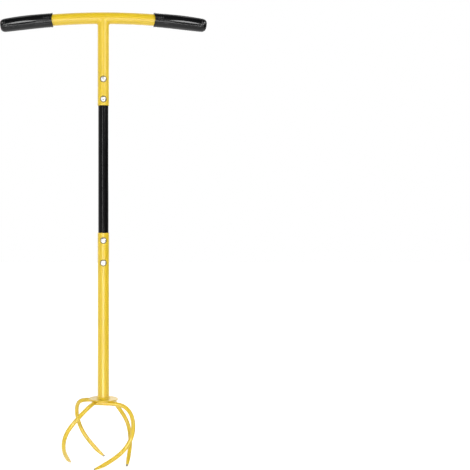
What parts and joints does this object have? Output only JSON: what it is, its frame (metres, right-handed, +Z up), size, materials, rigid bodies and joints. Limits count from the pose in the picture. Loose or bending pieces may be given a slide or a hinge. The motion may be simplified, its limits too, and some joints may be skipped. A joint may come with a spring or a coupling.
{
  "type": "twist tiller",
  "caption": "Upright hand tiller: a stem with a bowed two-handed crossbar and soft grips on top, and a ring of twisted, pointed tines under a round plate for loosening soil.",
  "frame": {"origin": "on the stem's axis, level with the points of the tines", "axes": "+Z up along the stem, +X along the crossbar to the right grip, -Y the side with the screw heads"},
  "size_m": [0.4548, 0.1313, 0.9935],
  "materials": {
    "yellow_paint": "glossy yellow powder coat",
    "black_paint": "semi-gloss black powder coat",
    "grip": "smooth, slightly glossy black rubber",
    "fastener": "bright zinc-plated steel"
  },
  "bodies": {
    "root": {"crossbar": "yellow_paint", "handle_stem": "yellow_paint", "crossbar_weld": "yellow_paint", "grip_left": "grip", "grip_right": "grip", "middle_tube": "black_paint", "lower_stem": "yellow_paint", "tine_plate": "yellow_paint", "stem_weld": "yellow_paint", "tine_1": "yellow_paint", "tine_2": "yellow_paint", "tine_3": "yellow_paint", "tine_4": "yellow_paint", "tine_weld_1": "yellow_paint", "tine_weld_2": "yellow_paint", "tine_weld_3": "yellow_paint", "tine_weld_4": "yellow_paint", "screw_1": "fastener", "screw_2": "fastener", "screw_3": "fastener", "screw_4": "fastener", "nut_1": "fastener", "nut_2": "fastener", "nut_3": "fastener", "nut_4": "fastener"}
  },
  "joints": []
}
